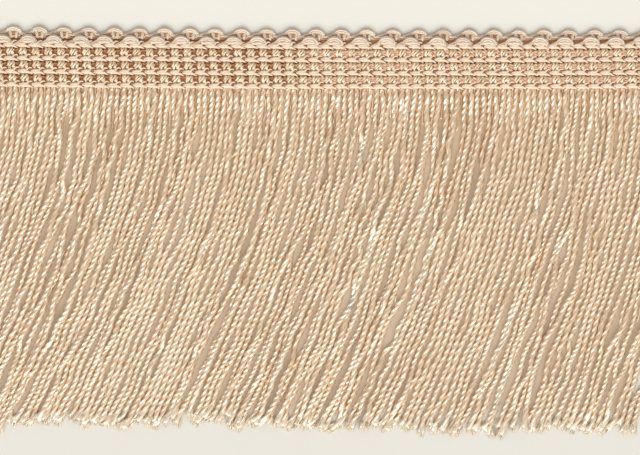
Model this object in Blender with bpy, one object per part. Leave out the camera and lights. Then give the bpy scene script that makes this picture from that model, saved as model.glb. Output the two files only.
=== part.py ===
"""Cut fringe trim, 141.6 mm long at its heading and 76 mm deep, lying flat on its back.

A warp-knitted heading (a weft ground held by four chain rows) carries two rows of
edge loops on top and a fringe of twisted strands below, cut at the bottom.

Frame: metres, +Z up. X runs along the trim, +Y towards the looped edge, and the
origin is the middle of the bounding box at the surface that the trim lies on.
"""

import math
import random

import bmesh
import bpy
from mathutils import Vector

MM = 0.001

# Knitting gauge
STITCH_PITCH = 2.4 * MM
STITCHES = 59
ROW_SPACING = 2.52 * MM
CHAIN_ROWS = 4
HEADING_LENGTH = STITCHES * STITCH_PITCH
ROW_SHIFT = 0.19 * MM

# Where the heading lies in the frame
HEADING_LEFT = -60.0 * MM
FIRST_ROW_Y = 35.26 * MM
LAST_ROW_Y = FIRST_ROW_Y - (CHAIN_ROWS - 1) * ROW_SPACING
BOW_DEPTH = 0.475 * MM
BOW_MIDDLE = 28.9 * MM
BOW_REACH = 86.0 * MM

# Pieces that lie on or beside one another keep this much room
CLEARANCE = 0.3 * MM

# Weft ground
GROUND_THICK = 1.25 * MM
GROUND_GROOVE = 0.6 * MM
GROUND_TOP_Y = FIRST_ROW_Y + 1.3 * MM
RIB_WIDTH = 1.55 * MM
RIB_CROWN = 0.75 * MM

# Root strip that holds the strands, and the ground's lower edge beside it
STRIP_BOTTOM_Y = LAST_ROW_Y - 0.85 * MM
STRIP_TOP_Y = LAST_ROW_Y + 0.35 * MM
STRIP_STEPS = 20
GROUND_BOTTOM_Y = STRIP_TOP_Y + CLEARANCE

# Chain rows
CHAIN_WIDTH = 1.0 * MM
CHAIN_HEIGHT = 0.8 * MM
CHAIN_Z = GROUND_THICK + CLEARANCE

# Edge loops, one loop to two stitches
LOOP_PITCH = 2 * STITCH_PITCH
LOOP_THICK = 1.1 * MM
OUTER_LOOPS = 29
OUTER_LOOP_LEFT = HEADING_LEFT + 1.2 * MM
OUTER_LOOP_FOOT_Y = FIRST_ROW_Y + 2.1 * MM
OUTER_LOOP_RISE = 0.75 * MM
OUTER_LOOP_Z = 0.55 * MM
# The outer loops stand taller towards the left end, by this much there
OUTER_LOOP_CLIMB = 0.6 * MM
INNER_LOOPS = 28
INNER_LOOP_LEFT = HEADING_LEFT + 3.8 * MM
INNER_LOOP_FOOT_Y = FIRST_ROW_Y + 1.18 * MM
INNER_LOOP_RISE = 0.4 * MM
INNER_LOOP_Z = GROUND_THICK + CLEARANCE + LOOP_THICK / 2
# The loops of the inner row stand further ahead of the outer ones towards +X
INNER_LOOP_DRIFT = 1.0 * MM

# Fringe
STRANDS_A_STITCH = 2
STRAND_WIDTH = 0.74 * MM
STRAND_THICK = 0.8 * MM
STRAND_ROOT_Z = 0.66 * MM
ROOT_SPREAD = 0.52 * MM
HANGING_SPREAD = 0.6 * MM
LEAST_GAP = 0.09 * MM
CUT_END_FLARE = 1.14
FRINGE_DROP = 64.2 * MM
DROP_JITTER = 0.75 * MM
# Share of the drop at which each strand has a point
STRAND_STATIONS = (0.0, 0.065, 0.17, 0.32, 0.49, 0.66, 0.84, 1.0)

# The strands all lean towards -X, more and more steeply on their way down, and the
# ones near the right end lean less
LEAN_SLOPE = 0.42
LEAN_REACH = 22.0 * MM
LEAN_AT_LEFT = 1.2
LEAN_LOST_AT_RIGHT = 0.4

# Where the fringe parts and the surface shows: the root's place along the trim,
# the stretch of the drop that it opens over, and how wide it opens, in mm
PARTINGS = (
    {"root": 19.2, "from": 13.0, "to": 44.0, "open": 0.9},
    {"root": 22.9, "from": 10.0, "to": 60.0, "open": 1.5},
    {"root": 28.2, "from": 22.0, "to": 50.0, "open": 1.1},
    {"root": 46.3, "from": 3.0, "to": 58.0, "open": 1.7},
    {"root": 59.1, "from": 24.0, "to": 60.0, "open": 1.2},
    {"root": 65.3, "from": 3.0, "to": 21.0, "open": 1.2},
    {"root": 67.9, "from": 31.0, "to": 47.0, "open": 1.0},
    {"root": 81.5, "from": 26.0, "to": 50.0, "open": 1.3},
    {"root": 86.6, "from": 40.0, "to": 66.0, "open": 1.2},
    {"root": 92.3, "from": 17.0, "to": 62.0, "open": 1.8},
    {"root": 94.5, "from": 16.0, "to": 46.0, "open": 1.1},
    {"root": 112.6, "from": 27.0, "to": 46.0, "open": 1.2},
    {"root": 117.8, "from": 4.0, "to": 20.0, "open": 1.3},
    {"root": 120.6, "from": 24.0, "to": 44.0, "open": 1.3},
    {"root": 131.0, "from": 20.0, "to": 34.0, "open": 1.4},
)
PARTING_REACH = 3.4 * MM

# The cut edge's slow rise and fall: the root's place along the trim, and how much
# longer the strands are there, in mm
CUT_EDGE = (
    {"root": 0.0, "longer": 0.4},
    {"root": 25.9, "longer": 0.6},
    {"root": 35.3, "longer": -1.0},
    {"root": 49.4, "longer": -0.1},
    {"root": 60.1, "longer": -1.2},
    {"root": 69.0, "longer": -1.2},
    {"root": 72.8, "longer": 0.0},
    {"root": 77.1, "longer": -0.8},
    {"root": 85.4, "longer": 0.0},
    {"root": 99.0, "longer": 0.5},
    {"root": 116.5, "longer": 1.0},
    {"root": 126.3, "longer": 0.6},
    {"root": 141.6, "longer": 0.6},
)

YARN_GOLD = (0.62, 0.42, 0.24, 1.0)
CHAIN_PEACH = (0.80, 0.62, 0.46, 1.0)
LOOP_CREAM = (0.70, 0.54, 0.38, 1.0)
GROUND_TAN = (0.52, 0.33, 0.19, 1.0)


# Shared helpers


def clear_scene():
    for thing in list(bpy.data.objects):
        bpy.data.objects.remove(thing)


def collection(name):
    made = bpy.data.collections.new(name)
    bpy.context.scene.collection.children.link(made)
    return made


def yarn_material(name, colour, roughness):
    made = bpy.data.materials.new(name)
    made.use_nodes = True
    shader = made.node_tree.nodes["Principled BSDF"]
    shader.inputs["Base Color"].default_value = colour
    shader.inputs["Roughness"].default_value = roughness
    shader.inputs["Metallic"].default_value = 0.0
    return made


def bow(x):
    """How far the heading sags towards -Y at x: it lies in a shallow curve."""
    return -BOW_DEPTH * (1.0 - ((x - BOW_MIDDLE) / BOW_REACH) ** 2)


def smooth_step(value):
    value = min(max(value, 0.0), 1.0)
    return value * value * (3.0 - 2.0 * value)


def profile_curve(name, outline, into):
    """A closed outline in the curve's own XY plane, used as the section of a cord."""
    data = bpy.data.curves.new(name, "CURVE")
    data.dimensions = "2D"
    data.fill_mode = "NONE"
    spline = data.splines.new("POLY")
    spline.points.add(len(outline) - 1)
    for point, (x, y) in zip(spline.points, outline):
        point.co = (x, y, 0.0, 1.0)
    spline.use_cyclic_u = True
    made = bpy.data.objects.new(name, data)
    made.hide_render = True
    made.display_type = "WIRE"
    into.objects.link(made)
    return made


def cord_curve(name, routes, profile, material, into):
    """A curve object with one spline for each route, a list of (point, radius)."""
    data = bpy.data.curves.new(name, "CURVE")
    data.dimensions = "3D"
    data.twist_mode = "Z_UP"
    data.bevel_mode = "OBJECT"
    data.bevel_object = profile
    data.use_fill_caps = True
    data.materials.append(material)
    for route in routes:
        spline = data.splines.new("POLY")
        spline.points.add(len(route) - 1)
        for point, (place, radius) in zip(spline.points, route):
            point.co = (*place, 1.0)
            point.radius = radius
    made = bpy.data.objects.new(name, data)
    into.objects.link(made)
    return made


def mesh_from_curve(curve, name, into):
    """The curve's evaluated shape as a mesh object with its caps welded on."""
    bpy.context.view_layer.update()
    graph = bpy.context.evaluated_depsgraph_get()
    data = bpy.data.meshes.new_from_object(curve.evaluated_get(graph))
    mesh = bmesh.new()
    mesh.from_mesh(data)
    bmesh.ops.remove_doubles(mesh, verts=mesh.verts, dist=0.001 * MM)
    bmesh.ops.recalc_face_normals(mesh, faces=mesh.faces)
    mesh.to_mesh(data)
    mesh.free()
    made = bpy.data.objects.new(name, data)
    made.matrix_world = curve.matrix_world
    into.objects.link(made)
    bpy.data.objects.remove(curve)
    return made


# Weft ground


def ground_outline():
    """The corrugated end view of the ground as (x, z): one rib for each weft pair."""
    outline = [(0.0, 0.0)]
    for stitch in range(STITCHES):
        middle = (stitch + 0.5) * STITCH_PITCH
        outline.append((middle - STITCH_PITCH / 2, GROUND_GROOVE))
        outline.append((middle - RIB_WIDTH / 2, GROUND_THICK * 0.8))
        outline.append((middle - RIB_CROWN / 2, GROUND_THICK))
        outline.append((middle + RIB_CROWN / 2, GROUND_THICK))
        outline.append((middle + RIB_WIDTH / 2, GROUND_THICK * 0.8))
    outline.append((HEADING_LENGTH, GROUND_GROOVE))
    outline.append((HEADING_LENGTH, 0.0))
    return outline


def build_ground(material, into):
    """An end view extruded along Y, then slanted with the wefts and bowed."""
    mesh = bmesh.new()
    corners = [
        mesh.verts.new((HEADING_LEFT + x, GROUND_BOTTOM_Y, z))
        for x, z in ground_outline()
    ]
    face = mesh.faces.new(corners)
    drawn = bmesh.ops.extrude_face_region(mesh, geom=[face])
    moved = [part for part in drawn["geom"] if isinstance(part, bmesh.types.BMVert)]
    depth = GROUND_TOP_Y - GROUND_BOTTOM_Y
    slant = ROW_SHIFT * depth / ROW_SPACING
    bmesh.ops.translate(mesh, verts=moved, vec=(-slant, depth, 0.0))
    for vert in mesh.verts:
        vert.co.y += bow(vert.co.x)
    bmesh.ops.recalc_face_normals(mesh, faces=mesh.faces)
    data = bpy.data.meshes.new("braid_ground")
    mesh.to_mesh(data)
    mesh.free()
    data.materials.append(material)
    made = bpy.data.objects.new("braid_ground", data)
    into.objects.link(made)
    return made


# Chain rows


def chain_row(row, profile, material, into):
    """One row of chain stitches: each is a spindle, fat in the middle of its stitch."""
    y = FIRST_ROW_Y - row * ROW_SPACING
    left = HEADING_LEFT + (row - CHAIN_ROWS + 1) * ROW_SHIFT
    swell = ((0.03, 0.5), (0.5, 1.0))
    route = []
    for stitch in range(STITCHES):
        for share, radius in swell:
            x = left + (stitch + share) * STITCH_PITCH
            place = Vector((x, y + bow(x), CHAIN_Z + radius * CHAIN_HEIGHT / 2))
            route.append((place, radius))
    x = left + HEADING_LENGTH
    route.append((Vector((x, y + bow(x), CHAIN_Z + 0.25 * CHAIN_HEIGHT)), 0.5))
    name = f"chain_row_{row + 1}"
    curve = cord_curve(f"{name}_curve", [route], profile, material, into)
    return mesh_from_curve(curve, name, into)


def chain_profile(into):
    """Flat below, crowned above: width CHAIN_WIDTH and height CHAIN_HEIGHT."""
    half, low, high = CHAIN_WIDTH / 2, -CHAIN_HEIGHT / 2, CHAIN_HEIGHT / 2
    outline = (
        (-0.55 * half, low),
        (0.55 * half, low),
        (half, 0.05 * high),
        (0.0, high),
        (-half, 0.05 * high),
    )
    return profile_curve("chain_profile", outline, into)


# Edge loops


def edge_loops(name, count, left, foot_y, rise, z, drift, climb, profile, material, into):
    """One row of loops as a cord that climbs slowly and drops steeply at each loop."""
    stations = ((0.0, 0.0, 0.62), (0.22, 0.48, 0.8), (0.45, 0.92, 1.0))
    stations += ((0.68, 1.0, 1.0), (0.88, 0.5, 0.86))
    route = []
    for loop in range(count):
        for share, height, radius in stations:
            along = (loop + share) * LOOP_PITCH
            x = left + along + drift * along / HEADING_LENGTH
            taller = climb * (1.0 - along / HEADING_LENGTH)
            y = foot_y + taller + rise * height + bow(x)
            route.append((Vector((x, y, z)), radius))
    x = left + count * LOOP_PITCH + drift * count * LOOP_PITCH / HEADING_LENGTH
    route.append((Vector((x, foot_y + bow(x), z)), stations[0][2]))
    # A thinner stretch stays on the surface that the loops lie on
    lowered = [
        (Vector((p.x, p.y, z - (1.0 - radius) * LOOP_THICK / 2)), radius)
        for p, radius in route
    ]
    curve = cord_curve(f"{name}_curve", [lowered], profile, material, into)
    return mesh_from_curve(curve, name, into)


def loop_profile(into):
    """A hexagon standing on a flat side, LOOP_THICK high."""
    apothem = LOOP_THICK / 2
    corner = apothem / math.cos(math.pi / 6)
    outline = [
        (corner * math.cos(k * math.pi / 3), corner * math.sin(k * math.pi / 3))
        for k in range(6)
    ]
    return profile_curve("loop_profile", outline, into)


# Fringe


def lean(drop, x):
    """How far a strand has wandered towards -X at this drop below the heading."""
    along = (x - HEADING_LEFT) / HEADING_LENGTH
    share = LEAN_AT_LEFT - LEAN_LOST_AT_RIGHT * along**3
    settled = drop - LEAN_REACH * (1.0 - math.exp(-drop / LEAN_REACH))
    return -LEAN_SLOPE * share * settled


def parted(drop, x):
    """How far the partings push a strand rooted at x aside, at this drop."""
    pushed = 0.0
    for parting in PARTINGS:
        start, end = parting["from"] * MM, parting["to"] * MM
        away = x - (HEADING_LEFT + parting["root"] * MM)
        across = (drop - start) / (end - start)
        if not 0.0 < across < 1.0:
            continue
        opened = smooth_step(across / 0.35) * smooth_step((1.0 - across) / 0.3)
        side = 1.0 if away > 0.0 else -1.0
        reach = math.exp(-abs(away) / PARTING_REACH)
        pushed += side * 0.5 * parting["open"] * MM * opened * reach
    return pushed


def cut_length(x, ragged):
    """The drop of the strand rooted at x: the cut edge rises and falls slowly."""
    root = (x - HEADING_LEFT) / MM
    for before, after in zip(CUT_EDGE, CUT_EDGE[1:]):
        if root <= after["root"]:
            break
    share = (root - before["root"]) / (after["root"] - before["root"])
    longer = before["longer"] + (after["longer"] - before["longer"]) * share
    return FRINGE_DROP + longer * MM + ragged.uniform(-DROP_JITTER, DROP_JITTER)


def spaced_out(places, least):
    """The places, in order, moved as little as keeps each this far from the next."""
    placed = list(places)
    for _ in range(40):
        for i in range(len(placed) - 1):
            lack = least - (placed[i + 1] - placed[i])
            if lack > 0.0:
                placed[i] -= lack / 2
                placed[i + 1] += lack / 2
    return placed


def strand_routes():
    """The centre line of every strand, from the root strip to its cut end."""
    ragged = random.Random(7)
    roots = []
    for stitch in range(STITCHES):
        middle = HEADING_LEFT + (stitch + 0.5) * STITCH_PITCH
        roots += [middle - HANGING_SPREAD, middle + HANGING_SPREAD]
    drops = [cut_length(x, ragged) for x in roots]
    routes = [[] for _ in roots]
    for share in STRAND_STATIONS:
        spread = smooth_step(share / 0.1)
        squeeze = (HANGING_SPREAD - ROOT_SPREAD) * (1.0 - spread)
        wanted = []
        for i, (x, drop) in enumerate(zip(roots, drops)):
            inward = squeeze if i % STRANDS_A_STITCH == 0 else -squeeze
            down = share * drop
            wanted.append(x + inward + lean(down, x) + parted(down, x))
        slope = LEAN_SLOPE * (1.0 - math.exp(-share * FRINGE_DROP / LEAN_REACH))
        slanted = math.hypot(1.0, slope)
        placed = spaced_out(wanted, (STRAND_WIDTH + LEAST_GAP) * slanted)
        for route, x, root, drop in zip(routes, placed, roots, drops):
            y = LAST_ROW_Y - 0.5 * MM + bow(root) - share * drop
            radius = CUT_END_FLARE if share == 1.0 else 1.0
            resting = radius * STRAND_THICK / 2
            z = STRAND_ROOT_Z + (resting - STRAND_ROOT_Z) * smooth_step(share / 0.06)
            route.append((Vector((x, y, z)), radius))
    return routes


def strand_profile(into):
    half, rise = STRAND_WIDTH / 2, STRAND_THICK / 2
    outline = ((-half, -rise), (half, -rise), (half, rise), (-half, rise))
    return profile_curve("strand_profile", outline, into)


def build_strip(material, into):
    """The narrow root strip under the last chain row, bowed with the heading."""
    mesh = bmesh.new()
    ends = []
    for step in range(STRIP_STEPS + 1):
        x = HEADING_LEFT + HEADING_LENGTH * step / STRIP_STEPS
        low, high = STRIP_BOTTOM_Y + bow(x), STRIP_TOP_Y + bow(x)
        section = ((low, 0.0), (high, 0.0), (high, GROUND_THICK), (low, GROUND_THICK))
        ends.append([mesh.verts.new((x, y, z)) for y, z in section])
    for here, there in zip(ends, ends[1:]):
        for k in range(4):
            after = (k + 1) % 4
            mesh.faces.new((here[k], here[after], there[after], there[k]))
    mesh.faces.new(ends[0])
    mesh.faces.new(ends[-1])
    bmesh.ops.recalc_face_normals(mesh, faces=mesh.faces)
    data = bpy.data.meshes.new("fringe")
    mesh.to_mesh(data)
    mesh.free()
    data.materials.append(material)
    made = bpy.data.objects.new("fringe", data)
    into.objects.link(made)
    return made


def build_fringe(material, into, helpers):
    """The root strip with every strand fused into it."""
    profile = strand_profile(helpers)
    curve = cord_curve("strand_curves", strand_routes(), profile, material, helpers)
    strands = mesh_from_curve(curve, "strands", helpers)
    strands.hide_render = True
    strands.display_type = "WIRE"
    strip = build_strip(material, into)
    fuse = strip.modifiers.new("fuse strands", "BOOLEAN")
    fuse.operation = "UNION"
    fuse.solver = "EXACT"
    fuse.object = strands
    return strip


def main():
    clear_scene()
    parts = collection("cut_fringe_trim")
    helpers = collection("helpers")

    gold = yarn_material("fringe_yarn", YARN_GOLD, 0.35)
    peach = yarn_material("chain_yarn", CHAIN_PEACH, 0.55)
    cream = yarn_material("loop_yarn", LOOP_CREAM, 0.45)
    tan = yarn_material("ground_yarn", GROUND_TAN, 0.6)

    build_ground(tan, parts)
    spindle = chain_profile(helpers)
    for row in range(CHAIN_ROWS):
        chain_row(row, spindle, peach, parts)
    round_section = loop_profile(helpers)
    edge_loops(
        "edge_loops_outer", OUTER_LOOPS, OUTER_LOOP_LEFT, OUTER_LOOP_FOOT_Y,
        OUTER_LOOP_RISE, OUTER_LOOP_Z, 0.0, OUTER_LOOP_CLIMB, round_section, cream, parts,
    )
    edge_loops(
        "edge_loops_inner", INNER_LOOPS, INNER_LOOP_LEFT, INNER_LOOP_FOOT_Y,
        INNER_LOOP_RISE, INNER_LOOP_Z, INNER_LOOP_DRIFT, 0.0, round_section, cream, parts,
    )
    build_fringe(gold, parts, helpers)


main()
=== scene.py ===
"""Looks for a length of cut fringe trim: every yarn in it is spun, bent and laid in place."""

import math
import random

import bpy
import numpy as np
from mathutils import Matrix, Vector


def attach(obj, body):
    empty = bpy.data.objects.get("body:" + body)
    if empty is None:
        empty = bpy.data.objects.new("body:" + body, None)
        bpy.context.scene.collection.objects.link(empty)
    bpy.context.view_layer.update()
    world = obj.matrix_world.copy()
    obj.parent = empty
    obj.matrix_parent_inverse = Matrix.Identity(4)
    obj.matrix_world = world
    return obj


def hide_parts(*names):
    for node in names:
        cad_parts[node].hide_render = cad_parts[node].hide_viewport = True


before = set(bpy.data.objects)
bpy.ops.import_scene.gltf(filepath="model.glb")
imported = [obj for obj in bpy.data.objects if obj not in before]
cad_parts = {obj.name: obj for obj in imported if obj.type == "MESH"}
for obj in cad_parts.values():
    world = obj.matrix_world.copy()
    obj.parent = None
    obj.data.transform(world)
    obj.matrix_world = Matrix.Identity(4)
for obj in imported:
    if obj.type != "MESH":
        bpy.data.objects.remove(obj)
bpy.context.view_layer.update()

MM = 0.001
UP = np.array((0.0, 0.0, 1.0))

# Gauge and place of the heading, as in the solids
STITCH_PITCH = 2.4 * MM
STITCHES = 59
ROW_SPACING = 2.52 * MM
CHAIN_ROWS = 4
HEADING_LENGTH = STITCHES * STITCH_PITCH
HEADING_LEFT = -60.0 * MM
ROW_SHIFT = 0.19 * MM
FIRST_ROW_Y = 35.26 * MM
LAST_ROW_Y = FIRST_ROW_Y - (CHAIN_ROWS - 1) * ROW_SPACING
BOW_DEPTH = 0.475 * MM
BOW_MIDDLE = 28.9 * MM
BOW_REACH = 86.0 * MM

# Edge loops
LOOP_PITCH = 2 * STITCH_PITCH
OUTER_LOOPS = 29
OUTER_LOOP_LEFT = HEADING_LEFT + 2.17 * MM
OUTER_LOOP_FOOT = 2.68 * MM
OUTER_LOOP_CLIMB = 0.36 * MM
INNER_LOOPS = 28
INNER_LOOP_LEFT = HEADING_LEFT + 5.1 * MM
INNER_LOOP_FOOT = 1.32 * MM
INNER_LOOP_DRIFT = 1.15 * MM

# Fringe
STRAND_RADIUS = 0.56 * MM
STRAND_FLAT = 0.82
STRAND_TURN = 4.6 * MM
STRAND_STEP = 0.46 * MM
HEADING_TURN = 3.0 * MM
FILAMENT_TURN = 0.2
PLY_SINK = 0.36
HEADING_RISE = 8.4 * MM
FRINGE_START = 0.5 * MM
FRINGE_DROP = 64.2 * MM
DROP_JITTER = 0.75 * MM
LEAST_SPACING = 1.12 * MM
STRAND_GROUPS = 5
WILD_SHARE = 0.26
CROSSING_SHARE = 0.2
LOOSE_FILAMENTS = 200
LEAN_SLOPE = 0.42
LEAN_REACH = 22.0 * MM
LEAN_AT_LEFT = 1.2
LEAN_LOST_AT_RIGHT = 0.4
PARTING_REACH = 3.4 * MM
PARTING_LEAN = 0.78
ROOT_ASIDE = 0.6 * MM
NEIGHBOURS = 7
CROSSING_WIDE = 2.1
CROSSING_HIGH = 1.9
WOBBLE_LENGTH = 3.4 * MM
SWELL_LENGTH = 2.3 * MM
TONE_LENGTH = 9.0 * MM
TIP_LENGTH = 2.8 * MM
FLOAT_LEVEL = 1.73
TUFT_FILAMENTS = 13
STREAKS_APART = 7.3

# Half the distance between the two strands of a pair, in mm
PAIR_SPREAD = (
    {"drop": -8.4, "aside": 0.34},
    {"drop": -0.8, "aside": 0.40},
    {"drop": 1.0, "aside": 0.57},
    {"drop": 2.5, "aside": 0.60},
)

# Where the fringe parts: the place along the trim of the strand it follows, the
# stretch of the drop that it opens over, and how wide it opens, in mm
PARTINGS = (
    {"root": 19.2, "from": 13.0, "to": 44.0, "open": 0.5},
    {"root": 22.9, "from": 10.0, "to": 60.0, "open": 1.0},
    {"root": 28.2, "from": 22.0, "to": 50.0, "open": 0.5},
    {"root": 46.3, "from": 3.0, "to": 58.0, "open": 1.3},
    {"root": 59.1, "from": 24.0, "to": 60.0, "open": 0.6},
    {"root": 65.3, "from": 3.0, "to": 21.0, "open": 0.8},
    {"root": 67.9, "from": 31.0, "to": 47.0, "open": 0.5},
    {"root": 81.5, "from": 26.0, "to": 50.0, "open": 0.7},
    {"root": 86.6, "from": 40.0, "to": 66.0, "open": 0.6},
    {"root": 92.3, "from": 17.0, "to": 62.0, "open": 1.2},
    {"root": 94.5, "from": 16.0, "to": 46.0, "open": 0.6},
    {"root": 112.6, "from": 27.0, "to": 46.0, "open": 0.6},
    {"root": 117.8, "from": 4.0, "to": 20.0, "open": 0.7},
    {"root": 120.6, "from": 24.0, "to": 44.0, "open": 0.7},
    {"root": 131.0, "from": 20.0, "to": 34.0, "open": 0.6},
)

# The cut edge's slow rise and fall: how much longer the strands are, in mm
CUT_EDGE = (
    {"root": 0.0, "longer": 0.4},
    {"root": 25.9, "longer": 0.6},
    {"root": 35.3, "longer": -1.0},
    {"root": 49.4, "longer": -0.1},
    {"root": 60.1, "longer": -1.2},
    {"root": 69.0, "longer": -1.2},
    {"root": 72.8, "longer": 0.0},
    {"root": 77.1, "longer": -0.8},
    {"root": 85.4, "longer": 0.0},
    {"root": 99.0, "longer": 0.5},
    {"root": 116.5, "longer": 1.0},
    {"root": 126.3, "longer": 0.6},
    {"root": 141.6, "longer": 0.6},
)

# Chance: one seed for each thing that varies
CUT_EDGE_SEED = 7
STRAND_SEED = 21
FILAMENT_SEED = 43
FILLING_SEED = 47
FIRST_CHAIN_SEED = 100
GROUND_SEED = 5

# Camera and room
PIXEL = 0.19 * MM
PHOTO_WIDTH = 640
VIEW_MIDDLE = (6.66 * MM, 0.475 * MM)
CAMERA_HEIGHT = 0.675
SENSOR_WIDTH = 36.0
LAMP_PLACE = (0.0, -2.05, 2.6)
LAMP_SIZE = (4.2, 2.4)
LAMP_WATTS = 99.0
LAMP_COLOUR = (1.0, 0.995, 0.98)
GLOW_COLOUR = (1.0, 0.97, 0.92, 1.0)
GLOW_STRENGTH = 0.57
CARD_HALF = 1.2

# How sharply the painted golden shade and glow on the card end, for each metre
SIDE_FADE = 900.0
CUT_EDGE_FADE = 350.0
HEADING_FADE = 600.0


# Finishes


class Shade:
    """A number that varies over a yarn. Sums written with it add Math nodes."""

    def __init__(self, finish, socket):
        self.finish = finish
        self.socket = socket

    def maths(self, kind, *values):
        settings = {"operation": kind}
        return self.finish.add("ShaderNodeMath", settings, dict(enumerate(values)))

    def __add__(self, other):
        return self.maths("ADD", self, other)

    __radd__ = __add__

    def __sub__(self, other):
        return self.maths("SUBTRACT", self, other)

    def __rsub__(self, other):
        return self.maths("SUBTRACT", other, self)

    def __mul__(self, other):
        return self.maths("MULTIPLY", self, other)

    def __rpow__(self, other):
        return self.maths("POWER", other, self)

    def at_least(self, least):
        return self.maths("MAXIMUM", self, least)

    def held(self):
        """The same number kept between 0 and 1."""
        return self.maths("MINIMUM", self, 1.0).at_least(0.0)


class Finish:
    """One material and the nodes behind it."""

    def __init__(self, name):
        self.material = bpy.data.materials.new(name)
        self.material.use_nodes = True
        self.nodes = self.material.node_tree.nodes
        self.links = self.material.node_tree.links
        self.shader = self.nodes["Principled BSDF"]

    def plug(self, socket, value):
        if isinstance(value, Shade):
            self.links.new(value.socket, socket)
        else:
            socket.default_value = value

    def add(self, kind, settings, sockets, output=0):
        """Any node: its settings first, then the values or links of its sockets."""
        node = self.nodes.new(kind)
        for name, value in settings.items():
            setattr(node, name, value)
        for name, value in sockets.items():
            self.plug(node.inputs[name], value)
        return Shade(self, node.outputs[output])

    def mark(self, name, output="Fac"):
        """What the yarn's points carry under this name: a number, or with Vector a place."""
        return self.add("ShaderNodeAttribute", {"attribute_name": name}, {}, output)

    def blend(self, share, low, high, kind="MIX"):
        """One colour turning into another."""
        settings = {"data_type": "RGBA", "blend_type": kind, "clamp_factor": True}
        sockets = {"Factor": share, 6: low, 7: high}
        return self.add("ShaderNodeMix", settings, sockets, 2)

    def filaments(self, across, along, detail=2.0):
        """Streaks that run the way the filaments lie in the yarn."""
        stretch = {"operation": "MULTIPLY"}
        lay = {0: self.mark("lay", "Vector"), 1: (across, across, along)}
        placed = self.add("ShaderNodeVectorMath", stretch, lay)
        noise = {"Vector": placed, "Scale": 1.0, "Detail": detail, "Roughness": 0.55}
        return self.add("ShaderNodeTexNoise", {}, noise)

    def raise_by(self, height, depth, strength):
        """Relief on the yarn, depth metres deep."""
        sockets = {"Height": height, "Distance": depth, "Strength": strength}
        self.set("Normal", self.add("ShaderNodeBump", {}, sockets))

    def glow_through(self, share, depth):
        """Light soaks through the yarn, and the deeper the more golden."""
        self.set("Subsurface Weight", share)
        self.set("Subsurface Radius", (1.0, 0.82, 0.64))
        self.set("Subsurface Scale", depth)

    def set(self, name, value):
        self.plug(self.shader.inputs[name], value)


def strand_finish(name, glow, bending):
    """Shiny golden yarn: pale crests, painted brown shade between the plies, on the sides and
    where it lies buried, and whiter at the cut end.
    """
    finish = Finish(name)
    streaks = finish.filaments(3.4, 0.3)
    tone = finish.mark("tone")
    tip = finish.mark("tip")
    # Painted shade from the groove mark, broken up by random streaks
    shadow = (finish.mark("groove") * 0.8 + (streaks - 0.45) * 1.9).held()
    crown = finish.blend(tone, (0.68, 0.49, 0.28, 1.0), (0.86, 0.70, 0.48, 1.0))
    body = finish.blend(shadow, crown, (0.80, 0.47, 0.18, 1.0))
    pale = finish.blend(shadow * 0.6, (0.94, 0.82, 0.62, 1.0), (0.80, 0.55, 0.29, 1.0))
    finish.set("Base Color", finish.blend(tip, body, pale))
    finish.set("Roughness", 0.16 + streaks * 0.26)
    finish.set("IOR", bending)
    finish.set("Specular IOR Level", 1.0)
    finish.glow_through(glow, 0.45 * MM)
    finish.raise_by(streaks, 0.19 * MM, 0.8)
    return finish.material


def chain_finish():
    """Smooth pale peach yarn with hardly any twist."""
    finish = Finish("smooth_chain_yarn")
    streaks = finish.filaments(4.0, 0.3)
    # Painted shade: brown on the yarn's sides and underside, from the groove mark
    shadow = (finish.mark("groove") * 0.9 + (streaks - 0.5) * 0.3).held()
    body = finish.blend(shadow, (0.95, 0.75, 0.58, 1.0), (0.70, 0.42, 0.22, 1.0))
    finish.set("Base Color", body)
    finish.set("Roughness", 0.5 + streaks * 0.12)
    finish.set("Specular IOR Level", 0.3)
    finish.glow_through(0.4, 0.2 * MM)
    finish.raise_by(streaks, 0.03 * MM, 0.5)
    return finish.material


def loop_finish():
    """Satiny beige filaments lying side by side, with painted brown shade on their sides and
    between the bunches.
    """
    finish = Finish("satin_loop_yarn")
    streaks = finish.filaments(5.0, 0.25)
    tone = finish.mark("tone")
    shadow = (finish.mark("groove") * 0.95 + (streaks - 0.5) * 0.6).held()
    crown = finish.blend(tone, (0.66, 0.48, 0.33, 1.0), (0.97, 0.85, 0.70, 1.0))
    finish.set("Base Color", finish.blend(shadow, crown, (0.56, 0.34, 0.18, 1.0)))
    finish.set("Roughness", 0.34 + streaks * 0.16)
    finish.set("IOR", 1.8)
    finish.set("Specular IOR Level", 0.8)
    finish.glow_through(0.3, 0.2 * MM)
    finish.raise_by(streaks, 0.05 * MM, 0.6)
    return finish.material


def ground_finish():
    """Soft dull yarn at the back: pinkish where it rises, painted deep brown shade where it
    sinks.
    """
    finish = Finish("soft_ground_yarn")
    streaks = finish.filaments(3.0, 0.5, 3.0)
    tone = finish.mark("tone")
    shadow = (finish.mark("groove") * 0.7 + (streaks - 0.5) * 0.5).held()
    # Painted shade: tone 0 is the deep brown of the shade in the holes
    crown = finish.blend(tone, (0.64, 0.32, 0.13, 1.0), (0.95, 0.70, 0.51, 1.0))
    finish.set("Base Color", finish.blend(shadow, crown, (0.50, 0.22, 0.08, 1.0)))
    finish.set("Roughness", 0.8)
    finish.raise_by(streaks, 0.03 * MM, 0.5)
    return finish.material


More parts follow.
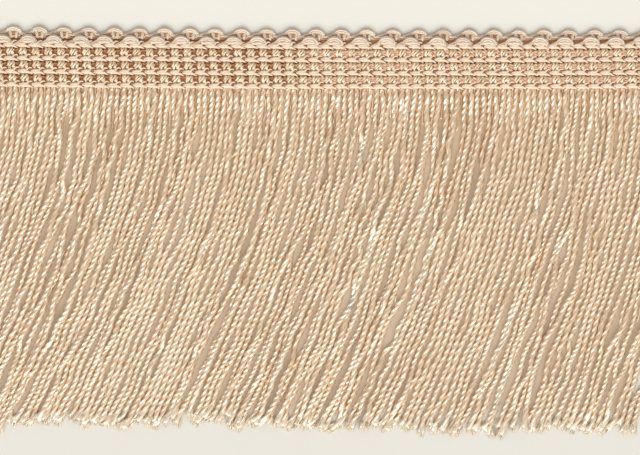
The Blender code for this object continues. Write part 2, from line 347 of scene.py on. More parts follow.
def floor_finish():
    """Pale card with painted golden shade and a painted golden glow under the fringe, standing
    for light that soaks through the fringe to it.
    """
    finish = Finish("pale_card")
    place = finish.add("ShaderNodeTexCoord", {}, {}, "Object")
    noise = {"Vector": place, "Scale": 60.0, "Detail": 4.0, "Roughness": 0.6}
    mottle = finish.add("ShaderNodeTexNoise", {}, noise)
    x = finish.add("ShaderNodeSeparateXYZ", {}, {0: place}, "X")
    y = finish.add("ShaderNodeSeparateXYZ", {}, {0: place}, "Y")
    share = ((y * 11.0 + 0.5).held() + (mottle - 0.5) * 0.25).held()
    card = finish.blend(share, (0.74, 0.73, 0.685, 1.0), (0.825, 0.81, 0.75, 1.0))
    drop = (LAST_ROW_Y - y).at_least(0.0)
    settled = drop - (1.0 - math.e ** (drop * (-1.0 / LEAN_REACH))) * LEAN_REACH
    root = x + settled * LEAN_SLOPE
    left = ((root - HEADING_LEFT) * SIDE_FADE).held()
    right = ((HEADING_LEFT + HEADING_LENGTH - root) * SIDE_FADE).held()
    bottom = ((y - (LAST_ROW_Y - FRINGE_DROP + 0.5 * MM)) * CUT_EDGE_FADE).held()
    top = ((FIRST_ROW_Y + 1.0 * MM - y) * HEADING_FADE).held()
    # golden is 1 under the fringe and the heading and fades at their edges: the patch of
    # painted shade and glow
    golden = left * right * bottom * top
    further = drop * 60.0
    painted_shade_tint = finish.blend(further, (0.66, 0.51, 0.33, 1.0), (0.61, 0.50, 0.41, 1.0))
    # Painted shade: the card darkened and made golden under the fringe, most golden near the
    # heading
    glow = finish.blend(1.0, card, painted_shade_tint, "MULTIPLY")
    finish.set("Base Color", finish.blend(golden, card, glow))
    # Painted glow: the card under the fringe gives off a faint golden light of its own
    painted_glow = finish.blend(golden, (0.0, 0.0, 0.0, 1.0), (0.14, 0.105, 0.07, 1.0))
    finish.set("Emission Color", painted_glow)
    finish.set("Emission Strength", 1.0)
    finish.set("Roughness", 0.9)
    finish.set("Specular IOR Level", 0.2)
    return finish.material


# Shape helpers


def smooth_step(value):
    """0 up to 0 and 1 from 1 on, with a soft slope between."""
    value = np.clip(value, 0.0, 1.0)
    return value * value * (3.0 - 2.0 * value)


def bow(x):
    """How far the heading sags towards -Y at x."""
    return -BOW_DEPTH * (1.0 - ((x - BOW_MIDDLE) / BOW_REACH) ** 2)


def rounded(points, steps):
    """A smooth line through rows of numbers, with this many steps from row to row."""
    rows = np.asarray(points, float)
    padded = np.vstack([2 * rows[0] - rows[1], rows, 2 * rows[-1] - rows[-2]])
    t = np.linspace(0.0, 1.0, steps, endpoint=False)[:, None]
    pieces = []
    for a, b, c, d in zip(padded, padded[1:], padded[2:], padded[3:]):
        curve = 2 * b + (c - a) * t + (2 * a - 5 * b + 4 * c - d) * t**2
        pieces.append(0.5 * (curve + (3 * b - a - 3 * c + d) * t**3))
    return np.vstack(pieces + [rows[-1:]])


def shape_of(table):
    """A table's points as one smooth line: along, across, up and radius."""
    return rounded([[p["along"], p["across"], p["up"], p["radius"]] for p in table], 2)


def path_of(x, y, z):
    """A yarn's middle line. A single number holds for all of it."""
    return np.stack(np.broadcast_arrays(x, y, z), axis=-1)


def any_angle(dice):
    return dice.uniform(0.0, 6.28)


def plied_section(plies, points_a_ply, sink):
    """Angles, radii and depth in the groove round a yarn of some plies, radius 1."""
    count = plies * points_a_ply
    angles = np.arange(count) * 2 * math.pi / count
    away = np.abs((angles * plies / math.pi + 1.0) % 2.0 - 1.0)
    groove = away**1.6
    return angles, 1.0 - sink * groove, groove


class Skein:
    """Gathers the skins of many yarns and turns them into one mesh."""

    def __init__(self):
        self.places = []
        self.quads = []
        self.fans = []
        self.marks = {"groove": [], "tone": [], "tip": [], "lay": []}
        self.count = 0

    def add(
        self, path, section, radius, turn=0.0, flat=1.0, tone=0.5, tip=0.0, number=0, deep=0.0
    ):
        """One yarn: radius, turn, flat, tone, tip and deep may change along the path; deep
        paints shade where the yarn lies buried.

        The number gives each yarn streaks of its own.
        """
        angles, radii, groove = section
        rings = len(path)
        sides = len(angles)
        ahead = np.gradient(path, axis=0)
        steps = np.linalg.norm(np.diff(path, axis=0), axis=1)
        along = np.concatenate([[0.0], np.cumsum(steps)])
        ahead /= np.linalg.norm(ahead, axis=1, keepdims=True) + 1e-12
        beside = np.cross(ahead, UP)
        beside /= np.linalg.norm(beside, axis=1, keepdims=True) + 1e-12
        above = np.cross(beside, ahead)
        one = np.ones(rings)
        lean = angles[None, :] - (turn * one)[:, None]
        reach = radii[None, :] * (radius * one)[:, None]
        across = (reach * np.cos(lean))[..., None] * beside[:, None, :]
        rise = (reach * np.sin(lean) * (flat * one)[:, None])[..., None]
        skin = path[:, None, :] + across + rise * above[:, None, :]
        self.places.append(skin.reshape(-1, 3))
        self.places.append(path[[0, -1]])
        start = self.count
        ring = start + np.arange(rings * sides).reshape(rings, sides)
        after = np.roll(ring, -1, axis=1)
        walls = np.stack([ring[:-1], ring[1:], after[1:], after[:-1]], axis=-1)
        self.quads.append(walls.reshape(-1, 4))
        first, last = start + rings * sides, start + rings * sides + 1
        near = np.stack([after[0], np.full(sides, first), ring[0]], axis=-1)
        far = np.stack([ring[-1], np.full(sides, last), after[-1]], axis=-1)
        self.fans.append(np.concatenate([near, far]))
        self.count = start + rings * sides + 2
        # Painted shade: the groove mark is highest in the grooves between plies, on the sides
        # and underside that face away from above, and where deep says the yarn lies buried
        flank = smooth_step((0.25 - np.sin(lean)) / 0.9)
        shaded = np.maximum(groove[None, :], 0.9 * flank)
        shaded = np.maximum(shaded, (deep * one)[:, None])
        self.mark("groove", shaded, 0.7)
        self.mark("tone", np.repeat((tone * one)[:, None], sides, 1), None)
        self.mark("tip", np.repeat((tip * one)[:, None], sides, 1), None)
        straight = angles[None, :] - (1.0 - FILAMENT_TURN) * (turn * one)[:, None]
        lay = np.empty((rings, sides, 3))
        thick = float(np.mean(radius)) / MM
        lay[..., 0] = np.cos(straight) * thick + number * STREAKS_APART
        lay[..., 1] = np.sin(straight) * thick
        lay[..., 2] = along[:, None] / MM
        ends = lay[[0, -1]].mean(axis=1)
        self.marks["lay"].append(np.vstack([lay.reshape(-1, 3), ends]))

    def mark(self, name, values, end):
        """Values round every ring, then one for each end's middle."""
        ends = values[[0, -1]].mean(axis=1) if end is None else [end, end]
        self.marks[name].append(np.concatenate([values.ravel(), ends]))

    def piece(self, name, material, slot, *nodes):
        """The mesh as a piece on the trim that stands for these solids."""
        data = bpy.data.meshes.new(name)
        faces = np.concatenate(self.quads).tolist() + np.concatenate(self.fans).tolist()
        data.from_pydata(np.concatenate(self.places), [], faces)
        for mark in ("groove", "tone", "tip"):
            layer = data.attributes.new(mark, "FLOAT", "POINT")
            layer.data.foreach_set("value", np.concatenate(self.marks[mark]))
        layer = data.attributes.new("lay", "FLOAT_VECTOR", "POINT")
        layer.data.foreach_set("vector", np.concatenate(self.marks["lay"]).ravel())
        data.materials.append(material)
        data.shade_smooth()
        made = bpy.data.objects.new(name, data)
        bpy.context.scene.collection.objects.link(made)
        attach(made, "root")
        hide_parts(*nodes)


# Fringe


def lean_of(drop, x):
    """How far a strand has wandered towards -X at this drop below the heading."""
    along = (x - HEADING_LEFT) / HEADING_LENGTH
    share = LEAN_AT_LEFT - LEAN_LOST_AT_RIGHT * np.clip(along, 0.0, 1.0) ** 3
    below = np.maximum(drop, 0.0)
    settled = below - LEAN_REACH * (1.0 - np.exp(-below / LEAN_REACH))
    return -LEAN_SLOPE * share * settled


def parted(drop, places):
    """How far the partings push strands aside, wherever they lie at each drop.

    A parting leans a little less than the strands, so here and there one crosses it.
    """
    pushed = np.zeros_like(places)
    for parting in PARTINGS:
        start, end = parting["from"] * MM, parting["to"] * MM
        root = HEADING_LEFT + parting["root"] * MM
        middle = lean_of(0.5 * (start + end), root)
        line = root + middle + PARTING_LEAN * (lean_of(drop, root) - middle)
        away = places - line
        across = (drop - start) / (end - start)
        opened = smooth_step(across / 0.35) * smooth_step((1.0 - across) / 0.3)
        side = away / (np.abs(away) + 0.25 * MM)
        reach = np.exp(-np.abs(away) / PARTING_REACH)
        pushed += side * 0.5 * parting["open"] * MM * opened * reach
    return pushed


def cut_length(x, ragged):
    """The drop of the strand rooted at x."""
    root = (x - HEADING_LEFT) / MM
    places = [row["root"] for row in CUT_EDGE]
    longer = np.interp(root, places, [row["longer"] for row in CUT_EDGE])
    return FRINGE_DROP + longer * MM + ragged.uniform(-DROP_JITTER, DROP_JITTER)


def pinch(drop):
    """1 where a chain row holds the pair of strands down, 0 halfway to the next."""
    wave = 0.5 + 0.5 * np.cos(2 * math.pi * (drop + FRINGE_START) / ROW_SPACING)
    below = smooth_step((drop + FRINGE_START) / (ROW_SPACING / 2))
    return wave * (1.0 - below)


def wandering(drop, amount, shortest, longest, dice):
    """A slow sideways drift that starts at nothing below the heading."""
    drift = np.zeros_like(drop)
    for share in (0.6, 0.3, 0.2):
        length = dice.uniform(shortest, longest) * MM
        phase = dice.uniform(0.0, 1.0)
        drift += share * np.sin(2 * math.pi * (drop / length + phase))
    return drift * amount * smooth_step(drop / (10.0 * MM))


def spaced_out(places, least):
    """Strands side by side, moved as little as keeps them this far apart."""
    placed = places.copy()
    for _ in range(30):
        lack = np.maximum(least - placed[1:] + placed[:-1], 0.0) * 0.5
        placed[:-1] -= lack
        placed[1:] += lack
    return placed


def smoothed(values, reach):
    """Each row of values averaged over this many steps either side."""
    weights = np.hanning(2 * reach + 3)[1:-1]
    weights /= weights.sum()
    padded = np.pad(values, ((0, 0), (reach, reach)), "edge")
    return np.apply_along_axis(np.convolve, 1, padded, weights, "valid")


def highest(values, reach):
    """Each row of values replaced by the highest within this many steps."""
    padded = np.pad(values, ((0, 0), (reach, reach)), "edge")
    shifted = [padded[:, k : k + values.shape[1]] for k in range(2 * reach + 1)]
    return np.max(shifted, axis=0)


def lay_strands(dice):
    """Every strand's path, from above the first chain row down to the cut edge."""
    ragged = random.Random(CUT_EDGE_SEED)
    deepest = FRINGE_DROP + 3.2 * MM
    steps = int((deepest + HEADING_RISE) / STRAND_STEP)
    drop = -HEADING_RISE + np.arange(steps) * STRAND_STEP
    held = pinch(drop)
    count = 2 * STITCHES
    sides = np.tile((-1.0, 1.0), STITCHES)
    middles = HEADING_LEFT + (np.repeat(np.arange(STITCHES), 2) + 0.5) * STITCH_PITCH
    roots = middles + sides * ROOT_ASIDE
    lengths = [cut_length(x, ragged) for x in roots]
    in_heading = drop < -FRINGE_START
    shift = np.where(in_heading, ROW_SHIFT * (drop + FRINGE_START) / ROW_SPACING, 0.0)
    spread_drops = [row["drop"] * MM for row in PAIR_SPREAD]
    spread = np.interp(drop, spread_drops, [row["aside"] * MM for row in PAIR_SPREAD])
    lower = np.sin(2 * math.pi * (drop + FRINGE_START) / ROW_SPACING)
    spread -= (0.04 * held + 0.04 * lower) * MM * in_heading
    across = np.empty((count, steps))
    above = np.zeros(count, bool)
    for i, root in enumerate(roots):
        across[i] = middles[i] + shift + sides[i] * spread + lean_of(drop, root)
        if dice.random() < WILD_SHARE:
            above[i] = True
            amount = dice.uniform(0.4, 1.3) * MM
            across[i] += wandering(drop, amount, 20, 70, dice)
        else:
            across[i] += wandering(drop, 0.5 * MM, 10, 40, dice)
        crumple = dice.uniform(0.1, 0.3) * MM
        across[i] += wandering(drop + 9.0 * MM, crumple, 4, 9, dice) * (drop > 0.0)
    cross_over(across, above, drop, dice)
    across += parted(drop, across)
    low = spaced_out(across[~above], LEAST_SPACING)
    across[~above] = np.where(drop > 0.8 * MM, low, across[~above])
    return roots, lengths, drop, across, rest_on(across, above, drop, held)


def cross_over(across, above, drop, dice):
    """Some pairs twist once round each other on their way down."""
    for first in range(0, len(across), 2):
        if dice.random() > CROSSING_SHARE:
            continue
        place = dice.uniform(2.5, 45.0) * MM
        length = dice.uniform(8.0, 16.0) * MM
        swap = smooth_step((drop - place) / length)
        apart = across[first + 1] - across[first]
        across[first] += apart * swap
        across[first + 1] -= apart * swap
        above[first + dice.randrange(2)] = True


def rest_on(across, above, drop, held):
    """The height of every strand: on the card, or over the strands that it crosses."""
    fall = smooth_step((drop + FRINGE_START) / (4.5 * MM))
    rising = (1.0 - held) * (drop < -FRINGE_START)
    raised = (0.9 + 0.5 * rising) * MM
    low = STRAND_RADIUS * STRAND_FLAT
    rest = np.tile(raised * (1.0 - fall) + low * fall, (len(across), 1))
    over = rest.copy()
    wide = CROSSING_WIDE * STRAND_RADIUS
    for i in np.flatnonzero(above):
        for j in range(max(0, i - NEIGHBOURS), min(len(across), i + NEIGHBOURS + 1)):
            if above[j]:
                continue
            away = (across[i] - across[j]) / wide
            hump = CROSSING_HIGH * low * np.sqrt(np.maximum(1.0 - away**2, 0.0))
            over[i] = np.maximum(over[i], rest[j] + hump)
    over = smoothed(highest(over, 2), 3)
    return np.where(drop[None, :] > 1.0 * MM, over, rest)


def spin_fringe(material, thin):
    """All the strands as three-ply yarns, in a few meshes side by side.

    The finish called thin goes on the single filaments.
    """
    dice = random.Random(STRAND_SEED)
    roots, lengths, drop, across, height = lay_strands(dice)
    section = plied_section(3, 4, PLY_SINK)
    held = pinch(drop)
    squeezed = 0.78 - 0.1 * held + 0.24 * smooth_step((drop + 1.6 * MM) / (3.6 * MM))
    skeins = [Skein() for _ in range(STRAND_GROUPS)]
    tufts = Skein()
    for i, (root, length) in enumerate(zip(roots, lengths)):
        keep = drop < length
        fan = dice.uniform(0.15, 0.7)
        curl = dice.uniform(-0.7, 0.35) * MM
        x = across[i][keep]
        y = LAST_ROW_Y - FRINGE_START + bow(root) - drop[keep]
        path = path_of(x, y, height[i][keep])
        short = drop[keep] - length
        tip = smooth_step((short + TIP_LENGTH) / TIP_LENGTH)
        swell = 1.0 + fan * tip**2
        path[:, 0] += curl * tip**2
        wobble = any_angle(dice)
        radius = STRAND_RADIUS * squeezed[keep] * swell * dice.uniform(0.95, 1.04)
        flat = STRAND_FLAT * (1.0 - 0.3 * tip**2)
        path[:, 2] += STRAND_RADIUS * np.maximum(swell * flat - STRAND_FLAT, 0.0)
        steps = np.linalg.norm(np.diff(path, axis=0), axis=1)
        along = np.concatenate([[0.0], np.cumsum(steps)])
        twist = np.where(drop[keep] < 0.0, HEADING_TURN, STRAND_TURN * dice.uniform(0.76, 1.06))
        twist *= 1.0 + 2.0 * tip
        turn = any_angle(dice) + 2 * math.pi * np.cumsum(np.gradient(along) / twist)
        turn += 0.9 * np.sin(along / WOBBLE_LENGTH + wobble)
        radius *= 1.0 + 0.06 * np.sin(along / SWELL_LENGTH - wobble)
        tone = 0.5 + 0.35 * np.sin(along / TONE_LENGTH + wobble) + dice.uniform(-0.3, 0.3)
        skein = skeins[i * STRAND_GROUPS // len(roots)]
        # Painted shade: strands are darkened through the heading, where floats and chain rows
        # lie over them
        deep = 0.85 * (drop[keep] < -FRINGE_START)
        skein.add(path, section, radius, turn, flat, np.clip(tone, 0, 1), tip, i, deep)
        fray(tufts, path, radius[-1], dice, i)
    for number, skein in enumerate(skeins, 1):
        nodes = ("fringe", "braid_ground") if number == 1 else ("fringe",)
        skein.piece(f"fringe_strands_{number}", material, "fringe_yarn", *nodes)
    tufts.piece("cut_end_tufts", thin, "fringe_yarn", "fringe")
    fill_below_heading(roots, drop, across, material)
    scatter_filaments(roots, lengths, drop, across, height, thin)
    lay_floats(thin, dice)


def fill_below_heading(roots, drop, across, material):
    """Flattened yarn that fills the gaps between the strands as they leave the heading."""
    dice = random.Random(FILLING_SEED)
    section = plied_section(3, 3, 0.4)
    skein = Skein()
    for i in range(len(roots) - 1):
        keep = (drop > -1.6 * MM) & (drop < dice.uniform(3.0, 8.0) * MM)
        share = np.linspace(0.0, 1.0, keep.sum())
        y = LAST_ROW_Y - FRINGE_START + bow(roots[i]) - drop[keep]
        z = (0.52 - 0.27 * share) * MM
        path = path_of(0.5 * (across[i] + across[i + 1])[keep], y, z)
        radius = dice.uniform(0.26, 0.36) * (1.0 - 0.5 * share**3) * MM
        turn = any_angle(dice) + 9.0 * share
        # deep 0.4 paints shade on the filling yarn, which lies low between the strands
        skein.add(path, section, radius, turn, 0.8, dice.uniform(0.0, 0.6), 0.0, i, 0.4)
    skein.piece("filling_yarn", material, "fringe_yarn", "fringe")


def scatter_filaments(roots, lengths, drop, across, height, material):
    """Loose filaments that have worked out of the strands and lie slanting over them."""
    dice = random.Random(FILAMENT_SEED)
    section = plied_section(4, 1, 0.0)
    skein = Skein()
    for number in range(LOOSE_FILAMENTS):
        i = dice.randrange(len(roots))
        start = dice.uniform(0.2, 54.0) * dice.choice((0.22, 1.0)) * MM
        end = min(start + dice.uniform(1.6, 4.0) * MM, lengths[i] - 1.0 * MM)
        keep = (drop >= start) & (drop <= end)
        share = np.linspace(-1.0, 1.0, keep.sum())
        drift = dice.uniform(-0.8, 0.3) * MM * share + dice.uniform(-0.3, 0.9) * MM
        bend = dice.uniform(-0.3, 0.3) * MM * (1.0 - share**2)
        x = across[i][keep] + drift + bend
        y = LAST_ROW_Y - FRINGE_START + bow(roots[i]) - drop[keep]
        ripple = 0.09 * np.sin((drop[keep] - start) / (0.3 * MM))
        z = height[i][keep] + (dice.uniform(0.0, 0.4) - 0.2 * share**2 + ripple) * MM
        path = path_of(x, y, z)
        radius = dice.uniform(0.1, 0.15) * (1.0 - 0.5 * share**4) * MM
        skein.add(path, section, radius, 0.3, 1.0, dice.uniform(0.5, 1.0), 0.5, number)
    skein.piece("loose_filaments", material, "fringe_yarn", "fringe")


def lay_floats(material, dice):
    """The slanting turns of yarn that show over each pair of strands in the heading."""
    section = plied_section(5, 1, 0.0)
    skein = Skein()
    for row in range(CHAIN_ROWS - 1):
        middle_y = FIRST_ROW_Y - (row + 0.5) * ROW_SPACING
        shift = ROW_SHIFT * (row - CHAIN_ROWS + 1.5)
        for stitch in range(STITCHES):
            middle_x = HEADING_LEFT + (stitch + 0.5) * STITCH_PITCH + shift
            slant = math.radians(dice.uniform(32, 48))
            for k in (-1.0, 0.0, 1.0):
                aside = k * 0.46 + dice.uniform(-0.09, 0.09)
                half = 0.8 - 0.2 * abs(k) + dice.uniform(-0.14, 0.06)
                share = np.linspace(-1.0, 1.0, 7)
                x = middle_x + (aside + share * half * math.sin(slant)) * MM
                along = share * half * math.cos(slant) - 0.15 * k + dice.uniform(-0.08, 0.08)
                y = middle_y + along * MM + bow(middle_x)
                dome = 0.22 * ((x - middle_x) / (0.7 * MM)) ** 2 - dice.uniform(-0.06, 0.06)
                z = (FLOAT_LEVEL + 0.14 * share - 0.3 * share**4 - dome) * MM
                path = path_of(x, y, z)
                radius = dice.uniform(0.15, 0.23) * (1.0 - 0.35 * share**2) * MM
                skein.add(path, section, radius, 0.3, 1.0, dice.uniform(0.5, 1.0), 0.4, stitch)
    skein.piece("heading_floats", material, "fringe_yarn", "fringe")


def fray(tufts, path, radius, dice, number):
    """The filaments that stand out of a strand's cut end."""
    section = plied_section(3, 1, 0.0)
    ahead = path[-1] - path[-4]
    ahead /= np.linalg.norm(ahead)
    beside = np.cross(ahead, UP)
    sweep = dice.uniform(-0.35, 0.35)
    for _ in range(TUFT_FILAMENTS):
        angle = dice.uniform(0.0, 2 * math.pi)
        out = radius * dice.uniform(0.3, 0.9)
        away = beside * math.cos(angle) + UP * 0.6 * math.sin(angle)
        root = path[-1] + away * out - ahead * dice.uniform(0.9, 1.5) * MM
        length = dice.uniform(1.3, 1.9) * MM
        flare = dice.uniform(0.0, 0.26)
        share = np.linspace(0.0, 1.0, 5)[:, None]
        bend = away * flare + beside * sweep
        line = root + ahead * length * share + bend * length * share**2
        line[:, 2] = np.maximum(line[:, 2], 0.1 * MM)
        thin = np.array((0.12, 0.15, 0.15, 0.13, 0.09)) * MM
        tufts.add(line, section, thin, 0.0, 1.0, 0.9, dice.uniform(0.4, 0.9), number)


# Chain stitches

# One stitch's yarn, from the deep tip along the far leg, down behind the next
# stitch, and back along the near leg: share of the stitch's length, then mm
STITCH_LOOP = (
    {"along": 0.00, "across": 0.03, "up": -0.48, "radius": 0.10},
    {"along": 0.04, "across": 0.02, "up": -0.02, "radius": 0.21},
    {"along": 0.13, "across": 0.04, "up": 0.08, "radius": 0.28},
    {"along": 0.28, "across": 0.11, "up": 0.18, "radius": 0.34},
    {"along": 0.43, "across": 0.13, "up": 0.24, "radius": 0.38},
    {"along": 0.58, "across": 0.14, "up": 0.20, "radius": 0.33},
    {"along": 0.67, "across": 0.30, "up": 0.14, "radius": 0.25},
    {"along": 0.76, "across": 0.53, "up": 0.10, "radius": 0.18},
    {"along": 0.86, "across": 0.67, "up": 0.04, "radius": 0.16},
    {"along": 0.97, "across": 0.70, "up": -0.08, "radius": 0.16},
    {"along": 1.07, "across": 0.56, "up": -0.34, "radius": 0.13},
    {"along": 1.11, "across": 0.00, "up": -0.68, "radius": 0.10},
    {"along": 1.12, "across": -0.36, "up": -0.52, "radius": 0.10},
    {"along": 1.08, "across": -0.50, "up": -0.18, "radius": 0.12},
    {"along": 0.97, "across": -0.38, "up": -0.02, "radius": 0.17},
    {"along": 0.86, "across": -0.24, "up": 0.08, "radius": 0.24},
    {"along": 0.73, "across": -0.17, "up": 0.18, "radius": 0.27},
    {"along": 0.59, "across": -0.14, "up": 0.22, "radius": 0.30},
    {"along": 0.43, "across": -0.12, "up": 0.24, "radius": 0.37},
    {"along": 0.28, "across": -0.09, "up": 0.18, "radius": 0.33},
    {"along": 0.13, "across": -0.06, "up": 0.08, "radius": 0.27},
    {"along": 0.04, "across": -0.04, "up": -0.02, "radius": 0.20},
    {"along": 0.00, "across": -0.02, "up": -0.50, "radius": 0.10},
)
CHAIN_LEVEL = 1.3 * MM


def knit_chain_row(row, material):
    """One row of chain stitches, each a separate loop that the next comes up through."""
    dice = random.Random(FIRST_CHAIN_SEED + row)
    section = plied_section(8, 1, 0.0)
    left = HEADING_LEFT + (row - CHAIN_ROWS + 1) * ROW_SHIFT
    line = FIRST_ROW_Y - row * ROW_SPACING
    loop = shape_of(STITCH_LOOP)
    skein = Skein()
    for stitch in range(STITCHES):
        wide = dice.uniform(0.9, 1.12)
        long = dice.uniform(0.97, 1.03)
        x = left + (stitch + loop[:, 0] * long) * STITCH_PITCH
        y = line + loop[:, 1] * wide * MM + bow(x) + dice.uniform(-0.06, 0.06) * MM
        z = CHAIN_LEVEL + loop[:, 2] * MM + dice.uniform(-0.03, 0.05) * MM
        path = path_of(x, y, z)
        skein.add(path, section, loop[:, 3] * MM, 0.3, 1.0, 0.5, 0.0, stitch)
    skein.piece(f"chain_stitches_{row + 1}", material, "chain_yarn", f"chain_row_{row + 1}")


# Edge loops

# One edge loop's yarn: thin as it rises from the loop before, then fat and flat over
# the top, then steeply down into the heading
EDGE_LOOP = (
    {"along": -0.36, "across": -1.20, "up": 0.10, "radius": 0.22},
    {"along": -0.26, "across": -0.98, "up": 0.20, "radius": 0.22},
    {"along": -0.16, "across": -0.80, "up": 0.22, "radius": 0.21},
    {"along": -0.06, "across": -0.62, "up": 0.18, "radius": 0.22},
    {"along": 0.03, "across": -0.44, "up": 0.10, "radius": 0.28},
    {"along": 0.10, "across": -0.24, "up": 0.08, "radius": 0.38},
    {"along": 0.19, "across": -0.06, "up": 0.12, "radius": 0.46},
    {"along": 0.30, "across": 0.00, "up": 0.16, "radius": 0.48},
    {"along": 0.41, "across": -0.08, "up": 0.14, "radius": 0.47},
    {"along": 0.51, "across": -0.30, "up": 0.10, "radius": 0.44},
    {"along": 0.58, "across": -0.62, "up": 0.00, "radius": 0.38},
    {"along": 0.62, "across": -1.00, "up": -0.14, "radius": 0.31},
    {"along": 0.62, "across": -1.36, "up": -0.30, "radius": 0.26},
    {"along": 0.56, "across": -1.70, "up": -0.42, "radius": 0.22},
)
# The bunches of filaments that each loop's yarn is made of
BUNCHES = 5

# Soft yarns that hold an outer loop down, round the hole under it: shares of the
# loop's length, then mm
STAYS = (
    {"from": 0.20, "to": 0.25, "down_from": -0.40, "down_to": -1.70, "radius": 0.40},
    {"from": 0.46, "to": 0.42, "down_from": -0.60, "down_to": -1.70, "radius": 0.40},
    {"from": -0.02, "to": 0.60, "down_from": -1.66, "down_to": -1.26, "radius": 0.22},
    {"from": 0.54, "to": 1.00, "down_from": -0.96, "down_to": -1.22, "radius": 0.27},
)

# The one that fills the hole of an inner loop
INNER_STAYS = (
    {"from": 0.06, "to": 0.58, "down_from": -0.72, "down_to": -0.66, "radius": 0.42},
)

# The two rows of loops. Drift carries the loops further along the trim from one to the
# next, climb lifts the ones at the left, and round makes them all taller and fatter
LOOP_ROWS = (
    {
        "piece": "edge_loops_back", "node": "edge_loops_outer", "count": OUTER_LOOPS,
        "left": OUTER_LOOP_LEFT, "foot": OUTER_LOOP_FOOT, "level": 0.6 * MM,
        "drift": 0.0, "climb": OUTER_LOOP_CLIMB, "round": 1.0, "stays": STAYS, "seed": 31,
    },
    {
        "piece": "edge_loops_front", "node": "edge_loops_inner", "count": INNER_LOOPS,
        "left": INNER_LOOP_LEFT, "foot": INNER_LOOP_FOOT, "level": 1.35 * MM,
        "drift": INNER_LOOP_DRIFT, "climb": 0.0, "round": 1.3, "stays": INNER_STAYS, "seed": 32,
    },
)


def lay_bunches(skein, path, radius, tone, number, dice):
    """A fat soft yarn as bunches of filaments that lie side by side over a dome."""
    ahead = np.gradient(path, axis=0)
    beside = np.cross(ahead, UP)
    beside /= np.linalg.norm(beside, axis=1, keepdims=True)
    section = plied_section(6, 1, 0.0)
    fat = smooth_step((radius / MM - 0.2) / 0.2)
    for bunch in range(BUNCHES):
        share = (bunch - (BUNCHES - 1) / 2) / (BUNCHES / 2)
        sideways = share * radius * (1.0 + 0.06 * dice.uniform(-1, 1))
        down = radius * (1.0 - math.sqrt(1.0 - 0.8 * share**2))
        line = path + beside * sideways[:, None] - UP * (down - 0.4 * radius)[:, None]
        line[:, 2] += (0.05 if bunch % 2 else -0.03) * MM
        thick = np.maximum(radius * dice.uniform(0.2, 0.25), 0.07 * MM)
        # Painted shade: the lower bunches get a darker tone than the raised ones between them;
        # the yarn is also darker where it is thin
        shade = tone + (0.3 if bunch % 2 else -0.5) + dice.uniform(-0.15, 0.15)
        shade = np.clip(shade * fat, 0.0, 1.0)
        skein.add(line, section, thick, 0.0, 1.0, shade, 0.0, number * BUNCHES + bunch)


def add_stays(skein, stays, left, foot, level, dice, number):
    """The soft yarns under one loop."""
    section = plied_section(3, 3, 0.3)
    for stay in stays:
        share = np.linspace(0.0, 1.0, 9)
        along = stay["from"] + (stay["to"] - stay["from"]) * share
        down = stay["down_from"] + (stay["down_to"] - stay["down_from"]) * share
        x = left + (along + dice.uniform(-0.03, 0.03)) * LOOP_PITCH
        y = FIRST_ROW_Y + foot + (down + dice.uniform(-0.06, 0.06)) * MM + bow(x)
        z = level + (0.02 + 0.12 * np.sin(math.pi * share)) * MM
        path = path_of(x, y, z)
        turn = np.linspace(0.0, 4.5, len(path))
        skein.add(path, section, stay["radius"] * MM, turn, 1.0, 0.6, 0.0, number)


def turn_edge_loops(row, material):
    """One row of fat satiny loops along the edge."""
    dice = random.Random(row["seed"])
    shape = shape_of(EDGE_LOOP)
    skein = Skein()
    for loop in range(row["count"]):
        start = loop * LOOP_PITCH
        gone = start / HEADING_LENGTH
        grow = dice.uniform(0.84, 1.1)
        slide = dice.uniform(-0.16, 0.16) * MM
        left = row["left"] + start + row["drift"] * gone + slide
        foot = row["foot"] + row["climb"] * (1.0 - gone)
        x = left + shape[:, 0] * LOOP_PITCH
        y = FIRST_ROW_Y + foot + shape[:, 1] * grow * row["round"] * MM + bow(x)
        path = path_of(x, y, row["level"] + shape[:, 2] * MM)
        thick = shape[:, 3] * grow * (0.4 + 0.6 * row["round"]) * MM
        lay_bunches(skein, path, thick, dice.uniform(0.5, 0.8), loop, dice)
        add_stays(skein, row["stays"], left, foot, row["level"], dice, 700 + loop)
    skein.piece(row["piece"], material, "loop_yarn", row["node"])


# Ground behind the stitches


# Its soft yarns: those laid along the heading, the pairs between the chain rows, the
# core under each row and the short ones at the outer loops' feet. Sizes in mm
GROUND_YARNS = {
    "laid": {"level": 0.34, "radius": 0.47, "flat": 0.6},
    "pair": {"level": 0.55, "radius": 0.50, "flat": 0.7},
    "core": {"level": 0.98, "radius": 0.32, "flat": 0.8},
    "foot": {"level": 0.32, "radius": 0.46, "flat": 0.6},
}
LAID_YARNS = 12
LAID_SPACING = 0.85 * MM
PAIR_ASIDE = 0.11
PAIR_RISE = 0.37
GROUND_TURN = 3.1 * MM


def lay_ground_yarn(skein, kind, x, y, turn, tone, number, rise=0.0, deep=0.0):
    """One soft yarn, lifted by rise mm."""
    yarn = GROUND_YARNS[kind]
    path = path_of(x, y, (yarn["level"] + rise) * MM)
    radius = yarn["radius"] * MM
    section = plied_section(4, 2, 0.12)
    skein.add(path, section, radius, turn, yarn["flat"], tone, 0.0, number, deep)


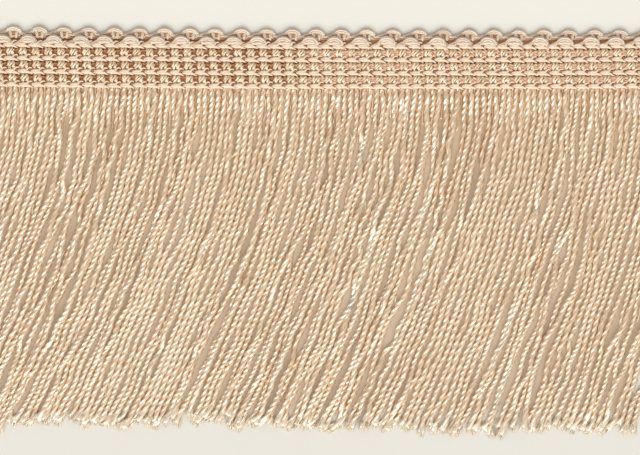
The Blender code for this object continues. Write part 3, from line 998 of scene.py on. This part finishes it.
def weave_ground(material):
    """All the soft yarns behind the strands. They rise and turn pinker to the right; at the
    left, where they lie low, they are painted deep brown as shade.
    """
    dice = random.Random(GROUND_SEED)
    skein = Skein()
    x = np.linspace(HEADING_LEFT - 0.3 * MM, HEADING_LEFT + HEADING_LENGTH, 180)
    rise = smooth_step((x + 3.0 * MM) / (10.0 * MM))
    turn = np.linspace(0.0, 2 * math.pi * HEADING_LENGTH / GROUND_TURN, len(x))
    for line in range(LAID_YARNS):
        y = LAST_ROW_Y - 0.3 * MM + line * LAID_SPACING + bow(x)
        lay_ground_yarn(skein, "laid", x, y, 0.4, 0.15 + 0.3 * rise, 90 + line)
    for row in range(CHAIN_ROWS - 1):
        for upper, side in enumerate((-PAIR_ASIDE, PAIR_ASIDE)):
            drift = 0.06 * MM * np.sin(x / (7.0 * MM) + any_angle(dice))
            y = FIRST_ROW_Y - (row + 0.5 + side) * ROW_SPACING + drift + bow(x)
            tone = 0.05 + 0.95 * rise
            number = 110 + 2 * row + upper
            lay_ground_yarn(skein, "pair", x, y, turn, tone, number, PAIR_RISE * rise)
    # The cores under the rows are painted deep brown, as shade in the holes of the chain
    # stitches
    for row in range(CHAIN_ROWS):
        y = FIRST_ROW_Y - row * ROW_SPACING + 0.25 * MM + bow(x)
        lay_ground_yarn(skein, "core", x, y, turn, 0.15, 116 + row, deep=0.2)
    # The yarns at the outer loops' feet are painted darker still, as shade under the loops
    for loop in range(OUTER_LOOPS):
        start = loop * LOOP_PITCH
        x = OUTER_LOOP_LEFT + start + np.linspace(0.1, 0.58, 6) * LOOP_PITCH
        taller = OUTER_LOOP_CLIMB * (1.0 - start / HEADING_LENGTH)
        y = FIRST_ROW_Y + OUTER_LOOP_FOOT + taller - 0.85 * MM + bow(x)
        lay_ground_yarn(skein, "foot", x, y, 0.4, 0.3, 120 + loop, deep=0.5)
    skein.piece("ground_wefts", material, "ground_yarn", "braid_ground")


# Room


def lay_floor():
    """A pale card under the trim; its finish paints golden shade and a golden glow under the
    fringe.
    """
    data = bpy.data.meshes.new("floor_card")
    turns = ((-1, -1), (1, -1), (1, 1), (-1, 1))
    corners = [(x * CARD_HALF, y * CARD_HALF, 0.0) for x, y in turns]
    data.from_pydata(corners, [], [(0, 1, 2, 3)])
    data.materials.append(floor_finish())
    made = bpy.data.objects.new("floor_card", data)
    bpy.context.scene.collection.objects.link(made)


def light_room():
    """A long lamp beyond the cut edge, as on a scanner, and an even glow all round."""
    data = bpy.data.lights.new("long_lamp", "AREA")
    data.shape = "RECTANGLE"
    data.size, data.size_y = LAMP_SIZE
    data.energy = LAMP_WATTS
    data.color = LAMP_COLOUR
    made = bpy.data.objects.new("long_lamp", data)
    made.location = LAMP_PLACE
    made.rotation_mode = "QUATERNION"
    made.rotation_quaternion = Vector(LAMP_PLACE).to_track_quat("Z", "Y")
    bpy.context.scene.collection.objects.link(made)
    world = bpy.data.worlds.new("even_glow")
    world.use_nodes = True
    glow = world.node_tree.nodes["Background"]
    glow.inputs["Color"].default_value = GLOW_COLOUR
    glow.inputs["Strength"].default_value = GLOW_STRENGTH
    bpy.context.scene.world = world


def set_camera():
    """Straight above, on a long lens, so the trim shows as flat as on a scanner."""
    data = bpy.data.cameras.new("camera")
    data.sensor_width = SENSOR_WIDTH
    data.lens = SENSOR_WIDTH * CAMERA_HEIGHT / (PHOTO_WIDTH * PIXEL)
    data.clip_start = 0.01
    data.clip_end = 10.0
    made = bpy.data.objects.new("camera", data)
    made.location = (*VIEW_MIDDLE, CAMERA_HEIGHT)
    bpy.context.scene.collection.objects.link(made)
    bpy.context.scene.camera = made
    bpy.context.scene.view_settings.view_transform = "Standard"


def main():
    set_camera()
    light_room()
    lay_floor()
    golden = strand_finish("shiny_strand_yarn", 0.75, 2.6)
    spin_fringe(golden, strand_finish("shiny_filaments", 0.0, 1.9))
    peach = chain_finish()
    for row in range(CHAIN_ROWS):
        knit_chain_row(row, peach)
    satin = loop_finish()
    for row in LOOP_ROWS:
        turn_edge_loops(row, satin)
    weave_ground(ground_finish())


main()
